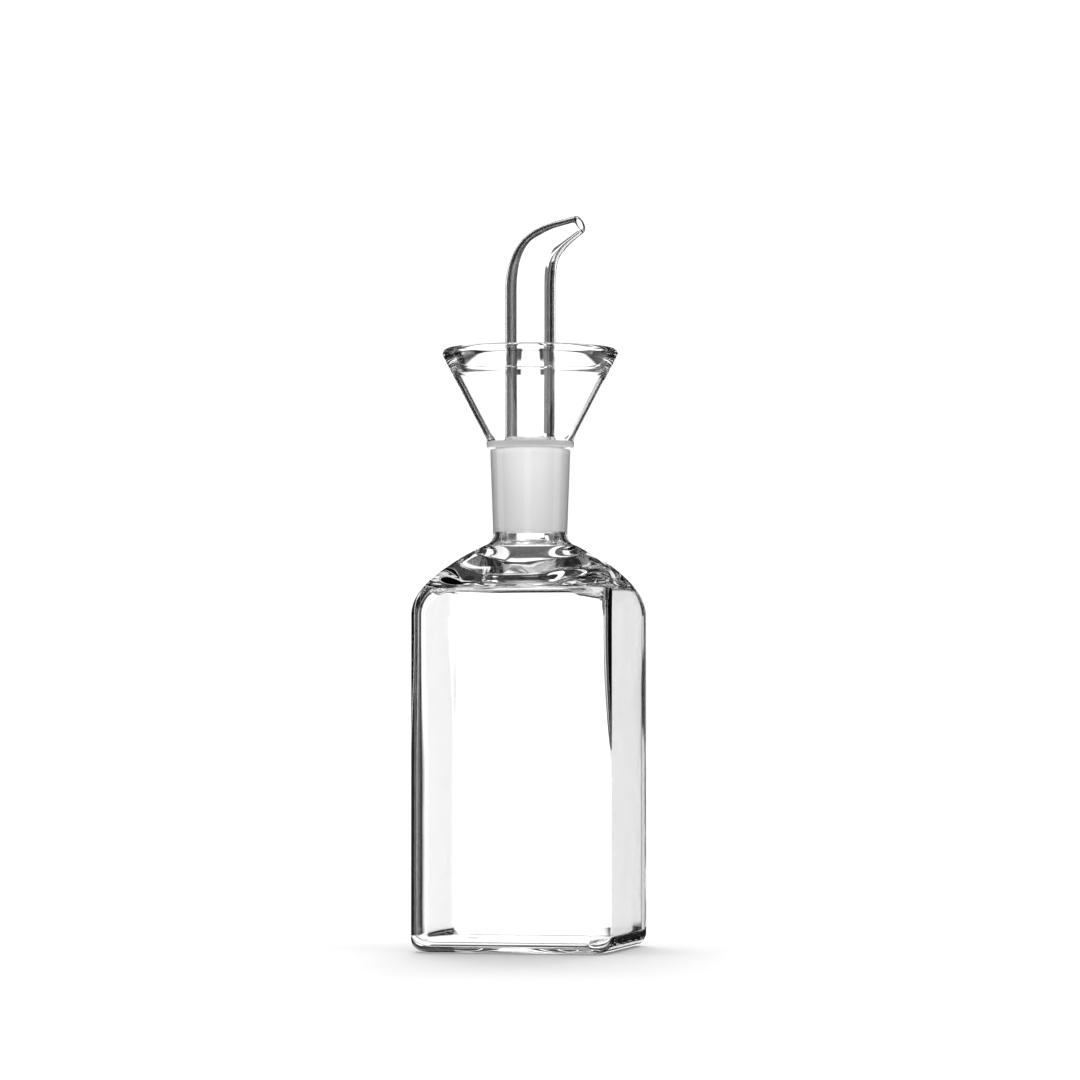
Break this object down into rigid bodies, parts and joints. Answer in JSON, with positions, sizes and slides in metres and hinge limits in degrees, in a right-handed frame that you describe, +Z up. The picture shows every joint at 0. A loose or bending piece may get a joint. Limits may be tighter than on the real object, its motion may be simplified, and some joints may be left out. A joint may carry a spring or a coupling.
{
  "type": "glass oil bottle",
  "caption": "Square clear-glass kitchen oil bottle with a domed shoulder, a frosted ground neck and a lift-out pourer: drip-catching funnel around a bent, tapering pour spout.",
  "frame": {"origin": "centre of the base, on the surface that the bottle stands on", "axes": "+Z up along the bottle and its neck; the flat faces look along +X, -X, +Y and -Y; the spout points mostly along +X, turned 16 degrees towards -Y as it stood in the neck"},
  "size_m": [0.0706, 0.0706, 0.2556],
  "materials": {
    "clear_glass": "clear, fire-polished, colourless borosilicate",
    "ground_glass": "ground, frosted, translucent"
  },
  "bodies": {
    "bottle": {"bottle_body": "clear_glass", "neck_socket": "ground_glass"},
    "stopper": {"stopper_cone": "ground_glass"},
    "pourer": {"drip_funnel": "clear_glass", "spout_tube": "clear_glass"}
  },
  "joints": [
    {"name": "pourer_lift", "type": "slide", "parent": "bottle", "child": "stopper", "axis": [0, 0, 1], "range_m": [0, 0.06]},
    {"name": "pourer_turn", "type": "hinge", "parent": "stopper", "child": "pourer", "pos_m": [0, 0, 0.17485], "axis": [0, 0, 1], "continuous": true}
  ]
}
